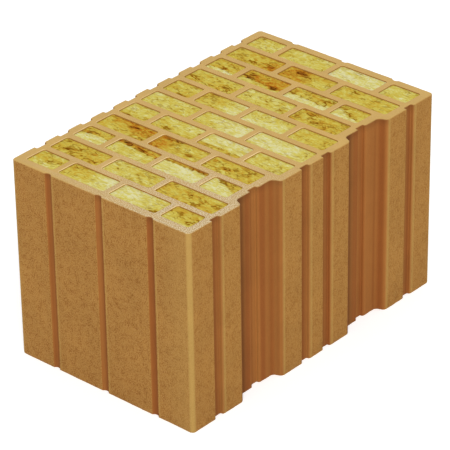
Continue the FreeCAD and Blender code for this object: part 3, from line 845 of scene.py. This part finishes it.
WHITE, LEMON, GOLD, FLECKED, AMBER = Fleece
ALONG_X, ALONG_Y, LEANING, SLANTED = Way
ROW_LOOKS: dict[int, tuple[SlabLook, ...]] = {
    1: (SlabLook(LEMON, GOLD, ALONG_Y, 0.35, tufts=((0.62, 0.42), (0.75, 0.6))),
        SlabLook(GOLD, WHITE, ALONG_X, 0.6, tufts=((0.06, 0.75),)),
        SlabLook(WHITE, LEMON, ALONG_X, 0.72, tufts=((0.9, 0.15),)),
        SlabLook(LEMON, FLECKED, ALONG_Y, 0.4, tufts=((0.92, 0.6), (0.88, 0.3)))),
    2: (SlabLook(FLECKED, tufts=((0.26, 0.4), (0.84, 0.17), (0.68, 0.72))),
        SlabLook(LEMON, GOLD, ALONG_X, 0.85, tufts=((0.6, 0.6), (0.25, 0.45))),
        SlabLook(FLECKED, GOLD, ALONG_Y, 0.7, tufts=((0.43, 0.72), (0.91, 0.53)))),
    3: (SlabLook(WHITE, FLECKED, ALONG_Y, 0.56, True, tufts=((0.3, 0.7),)),
        SlabLook(LEMON, AMBER, LEANING, 0.83, True, tufts=((0.08, 0.9), (0.24, 0.9), (0.55, 0.8))),
        SlabLook(WHITE, AMBER, ALONG_Y, 0.86, True),
        SlabLook(WHITE, FLECKED, SLANTED, 1.12, True, tufts=((0.3, 0.88), (0.6, 0.86)))),
    4: (SlabLook(GOLD, AMBER, SLANTED, 0.85, tufts=((0.6, 0.7), (0.9, 0.12))),
        SlabLook(AMBER, GOLD, ALONG_X, 0.35,
                 tufts=((0.15, 0.92), (0.35, 0.95), (0.76, 0.36))),
        SlabLook(FLECKED, tufts=((0.41, 0.46), (0.76, 0.46)))),
    5: (SlabLook(GOLD, LEMON, ALONG_Y, 0.2, tufts=((0.25, 0.06), (0.95, 0.2))),
        SlabLook(GOLD, LEMON, ALONG_Y, 0.25, tufts=((0.95, 0.6), (0.34, 0.22))),
        SlabLook(FLECKED, WHITE, ALONG_Y, 0.25, True, tufts=((0.2, 0.12), (0.75, 0.12))),
        SlabLook(LEMON, tufts=((0.7, 0.06),))),
    6: (SlabLook(LEMON, tufts=((0.22, 0.54), (0.66, 0.25))),
        SlabLook(LEMON, WHITE, ALONG_X, 0.5),
        SlabLook(WHITE, LEMON, ALONG_X, 0.75, tufts=((0.87, 0.58),))),
    7: (SlabLook(GOLD, tufts=((0.7, 0.1),)),
        SlabLook(GOLD, WHITE, ALONG_X, 0.65, tufts=((0.2, 0.93),)),
        SlabLook(WHITE, LEMON, ALONG_Y, 0.5),
        SlabLook(GOLD, tufts=((0.95, 0.15),))),
    8: (SlabLook(FLECKED, LEMON, ALONG_Y, 0.7, tufts=((0.2, 0.35), (0.8, 0.4), (0.55, 0.15))),
        SlabLook(LEMON, tufts=((0.12, 0.5), (0.5, 0.6), (0.62, 0.3), (0.85, 0.25))),
        SlabLook(FLECKED, tufts=((0.25, 0.8), (0.45, 0.35), (0.65, 0.5)))),
    9: (SlabLook(WHITE, FLECKED, ALONG_Y, 0.22, True, tufts=((0.45, 0.4),)),
        SlabLook(LEMON, AMBER, LEANING, 0.38, True,
                 tufts=((0.08, 0.45), (0.22, 0.45), (0.15, 0.72), (0.8, 0.28))),
        SlabLook(WHITE, FLECKED, ALONG_Y, 0.4, True, tufts=((0.79, 0.7),)),
        SlabLook(WHITE, GOLD, SLANTED, 0.72, True, tufts=((0.12, 0.7), (0.4, 0.5), (0.64, 0.32)))),
    10: (SlabLook(GOLD, AMBER, ALONG_X, 0.7, tufts=((0.5, 0.3), (0.85, 0.4), (0.3, 0.15))),
         SlabLook(AMBER, GOLD, ALONG_X, 0.5, tufts=((0.25, 0.78), (0.32, 0.72), (0.48, 0.58))),
         SlabLook(GOLD, tufts=((0.27, 0.82),))),
    11: (SlabLook(LEMON, tufts=((0.1, 0.9),)),
         SlabLook(GOLD, LEMON, ALONG_X, 0.15, tufts=((0.9, 0.14),)),
         SlabLook(WHITE, tufts=((0.4, 0.85),)),
         SlabLook(LEMON, tufts=((0.6, 0.9),))),
}


@dataclass
class WoolSlab:
    """One slab of mineral wool, a little crushed at its rims where it meets the clay."""

    node_name: str
    look: SlabLook
    seed: int
    spacing_mm: float = 1.1
    swell_mm: float = 0.2
    corner_mm: float = 2.4
    rim_crush_mm: float = 0.2
    relief_mm: float = 0.35
    torn_relief_mm: float = 0.4
    side_steps: int = 5
    torn_width: float = 0.035
    soft_width: float = 0.28
    tuft_length_mm: float = 5.0
    tuft_width_mm: float = 2.6

    def paints(self, x: Array, y: Array, low: Vector, high: Vector) -> dict[str, Array]:
        """Tone, fleck strength, torn tufts and scorch at points of the sawn faces.

        The tone is its kind's own plus a layered noise. Where two kinds meet, the change
        follows a line that a noise frays. A torn seam is a Gaussian of the distance from
        that line, and a tuft a curl round its middle, both broken up by a finer noise.
        Binder gathers round a tuft. What is torn is scorched where the tone is amber.
        """
        share_x = (x - low.x) / (high.x - low.x)
        share_y = (y - low.y) / (high.y - low.y)
        grow_x, grow_y = self.look.way.value
        wander = 0.22 * (layered_noise(x, y, 11 * MM, 5 * MM, self.seed) - 0.5)
        place = grow_x * share_x + grow_y * share_y + wander - self.look.starts
        width = self.torn_width if self.look.torn else self.soft_width
        change = eased(place, -width, width)[:, None]
        second = self.look.second or self.look.first
        tone, fleck = (np.array(self.look.first.value) * (1 - change)
                       + np.array(second.value) * change).T
        tone = tone + 0.3 * (layered_noise(x, y, 13 * MM, 6 * MM, self.seed + 5) - 0.5)
        broken = layered_noise(x, y, 4.5 * MM, 2.2 * MM, self.seed + 31)
        tuft = np.zeros_like(x)
        gathered = np.zeros_like(x)
        if self.look.torn:
            tuft += 0.8 * np.exp(-(place / 0.06) ** 2) * eased(broken, 0.38, 0.6)
        for tuft_x, tuft_y in self.look.tufts:
            across = (x - low.x - tuft_x * (high.x - low.x)) / (self.tuft_length_mm * MM)
            along = (y - low.y - tuft_y * (high.y - low.y)) / (self.tuft_width_mm * MM)
            away = np.hypot(across, along)
            gathered = np.maximum(gathered, np.exp(-(away / 1.5) ** 2))
            tuft += 0.9 * np.exp(-((away - 0.7) / 0.5) ** 2) * eased(broken, 0.32, 0.6)
        tone = tone + 0.1 * gathered
        return {"tone": tone, "fleck": fleck, "tuft": np.clip(tuft, 0, 1),
                "scorch": np.clip(tuft, 0, 1) * eased(tone, 0.55, 0.8)}

    def rounded_plan(self, x: Array, y: Array, low: Vector, high: Vector) -> tuple[Array, Array]:
        """Pulls the four corners of a rectangular grid in onto their corner circles."""
        corner = self.corner_mm * MM
        middle_x, middle_y = (low.x + high.x) / 2, (low.y + high.y) / 2
        over_x = np.clip(np.abs(x - middle_x) - (high.x - low.x) / 2 + corner, 0, None)
        over_y = np.clip(np.abs(y - middle_y) - (high.y - low.y) / 2 + corner, 0, None)
        reach = np.hypot(over_x, over_y)
        pull = 1 - corner / np.maximum(reach, corner)
        return x - np.sign(x - middle_x) * over_x * pull, y - np.sign(y - middle_y) * over_y * pull

    def build(self, material: Material) -> Object:
        """Sawn top and bottom faces on a grid, joined by straight sides.

        The slab swells a little into the gap that its solid leaves to the clay. A sawn
        face lies below its plane by a rim term, which dies away from the sides,
        and by a fibre noise, and sinks further where the wool is torn.
        """
        low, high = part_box(self.node_name)
        swell = Vector((self.swell_mm * MM, self.swell_mm * MM, 0))
        low, high = low - swell, high + swell
        across = max(2, round((high.x - low.x) / (self.spacing_mm * MM)))
        along = max(2, round((high.y - low.y) / (self.spacing_mm * MM)))
        x, y = np.meshgrid(np.linspace(low.x, high.x, across + 1),
                           np.linspace(low.y, high.y, along + 1), indexing="ij")
        number = np.arange(x.size).reshape(x.shape)
        x, y = (plan.ravel() for plan in self.rounded_plan(x, y, low, high))
        paints = self.paints(x, y, low, high)
        edge = np.minimum.reduce((x - low.x, high.x - x, y - low.y, high.y - y))
        fibre = layered_noise(x, y, 7 * MM, 3.2 * MM, self.seed + 61)
        sunk = MM * (self.rim_crush_mm * np.exp(-edge / MM) + self.relief_mm * (1 - fibre)
                     + self.torn_relief_mm * paints["tuft"])
        top = np.stack((x, y, high.z - sunk), axis=1)
        bottom = np.stack((x, y, low.z + sunk), axis=1)
        quads = np.stack((number[:-1, :-1], number[1:, :-1], number[1:, 1:], number[:-1, 1:]),
                         axis=2).reshape(-1, 4)
        rim = np.concatenate((number[:-1, 0], number[-1, :-1], number[:0:-1, -1],
                              number[0, :0:-1]))
        levels = np.linspace(0, 1, self.side_steps + 1)[1:-1]
        sides = top[rim] + levels[:, None, None] * (bottom[rim] - top[rim])
        rows = 2 * x.size + np.arange(len(levels) * rim.size).reshape(-1, rim.size)
        ring = np.concatenate(([rim], rows, [rim + x.size]))
        beside = np.roll(ring, -1, axis=1)
        walls = np.stack((ring[:-1], ring[1:], beside[1:], beside[:-1]), axis=2).reshape(-1, 4)
        faces = np.concatenate((quads, quads[:, ::-1] + x.size, walls)).tolist()
        points = np.concatenate((top, bottom, sides.reshape(-1, 3)))
        everywhere = {name: np.concatenate((values, values, np.tile(values[rim], len(levels))))
                      for name, values in paints.items()}
        piece = make_piece(self.node_name + "_fleece", points, faces, everywhere, material)
        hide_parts(self.node_name)
        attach(piece, "root")
        return piece


@dataclass
class WoolFilling:
    """The slabs of every cell, each with the look of its place in the block."""

    names: list[str]

    def build(self, material: Material) -> None:
        """Builds each slab from the row and cell in its node's name."""
        for name in self.names:
            row, cell = int(name.split("_")[2]), int(name.split("_")[4])
            slab = WoolSlab(name, ROW_LOOKS[row][cell - 1], seed=100 * row + 13 * cell)
            piece = slab.build(material)
            LOG.info("%s has %d faces", piece.name, len(piece.data.polygons))


@dataclass
class Studio:
    """White floor, a large softbox before the block, a weaker one behind, and the camera."""

    sensor_mm: float = 36.0
    focal_length_mm: float = 227.606
    distance: float = 3.08551
    heading_degrees: float = -41.5035
    elevation_degrees: float = 29.6895
    roll_degrees: float = -0.8832
    target: Place = (-0.001723, -0.003082, 0.116965)
    floor_size: float = 30.0
    floor_glow: float = 0.36
    sky_strength: float = 0.537
    key_place: Place = (7.0, -7.0, 7.2)
    key_size: float = 5.4
    key_watts: float = 1038.0
    fill_place: Place = (-3.4, 3.4, 1.1)
    fill_size: float = 2.0
    fill_watts: float = 88.0

    def stand(self, name: str, data: Data, place: Vector,
              roll_degrees: float = 0.0) -> Object:
        """Adds a camera or a lamp at a place, turned towards the target."""
        added = add_object(name, data)
        added.location = place
        added.rotation_mode = "QUATERNION"
        roll = Quaternion((0, 0, 1), math.radians(roll_degrees))
        view = Vector(self.target) - place
        added.rotation_quaternion = view.to_track_quat("-Z", "Y") @ roll
        return added

    def camera(self) -> None:
        """Camera that looks at the block's middle from the picture's direction."""
        heading = math.radians(self.heading_degrees)
        fall = math.radians(self.elevation_degrees)
        view = Vector((math.sin(heading) * math.cos(fall), math.cos(heading) * math.cos(fall),
                       -math.sin(fall)))
        lens = bpy.data.cameras.new("studio_camera")
        lens.sensor_width = self.sensor_mm
        lens.lens = self.focal_length_mm
        lens.clip_end = 100.0
        bpy.context.scene.camera = self.stand(
            "studio_camera", lens, Vector(self.target) - view * self.distance,
            self.roll_degrees)

    def floor(self) -> None:
        """Floor that reads as white paper to the camera and still takes the shadow."""
        half = self.floor_size / 2
        mesh = bpy.data.meshes.new("studio_floor")
        mesh.from_pydata([(-half, -half, 0), (half, -half, 0), (half, half, 0), (-half, half, 0)],
                         [], [(0, 1, 2, 3)])
        material, tree, shader = start_material("matt_white_paper", 1.0, 0.0)
        shader.inputs["Base Color"].default_value = linear("#f2f2f2")
        seen = add_node(tree, "LightPath").outputs["Is Camera Ray"]
        glow = add_node(tree, "Math", TIMES, in_0=seen, in_1=self.floor_glow)
        shader.inputs["Emission Color"].default_value = (1.0, 1.0, 1.0, 1.0)
        tree.links.new(glow.outputs[0], shader.inputs["Emission Strength"])
        mesh.materials.append(material)
        add_object("studio_floor", mesh)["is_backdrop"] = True

    def sky(self) -> None:
        """A pale sky all round, plain white where it is seen."""
        world = bpy.data.worlds.new("studio_sky")
        world.use_nodes = True
        tree = world.node_tree
        rays = add_node(tree, "LightPath").outputs
        seen = add_node(tree, "Math", {"operation": "MAXIMUM"}, in_0=rays["Is Camera Ray"],
                        in_1=rays["Is Glossy Ray"])
        seen = add_node(tree, "Math", {"operation": "MAXIMUM"}, in_0=seen,
                        in_1=rays["Is Transmission Ray"])
        strength = add_node(tree, "MapRange", Value=seen, To_Min=self.sky_strength, To_Max=1.0)
        sky = tree.nodes["Background"]
        sky.inputs["Color"].default_value = (1.0, 1.0, 1.0, 1.0)
        tree.links.new(strength.outputs["Result"], sky.inputs["Strength"])
        bpy.context.scene.world = world

    def softbox(self, name: str, place: Place, size: float, watts: float) -> None:
        """Square area light that faces the block."""
        lamp = bpy.data.lights.new(name, "AREA")
        lamp.shape = "SQUARE"
        lamp.size = size
        lamp.energy = watts
        self.stand(name, lamp, Vector(place))

    def build(self) -> None:
        """Sets up camera, floor and light."""
        self.camera()
        self.floor()
        self.sky()
        self.softbox("key_softbox", self.key_place, self.key_size, self.key_watts)
        self.softbox("fill_softbox", self.fill_place, self.fill_size, self.fill_watts)
        bpy.context.scene.view_settings.view_transform = "Standard"


def main() -> None:
    """Builds the studio, the clay and the wool."""
    logging.basicConfig(level=logging.INFO, format="%(name)s: %(message)s")
    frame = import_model()
    cad_box = [list(corner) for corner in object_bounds()]
    Studio().build()
    clay = ClayBody(frame["nodes"]["clay_block"]).build(FiredClay().material(cad_box[1][2]))
    LOG.info("%s has %d faces", clay.name, len(clay.data.polygons))
    names = sorted(name for name in frame["nodes"] if name.startswith("wool_row_"))
    WoolFilling(names).build(MineralWool().material())


if __name__ == "__main__":
    main()
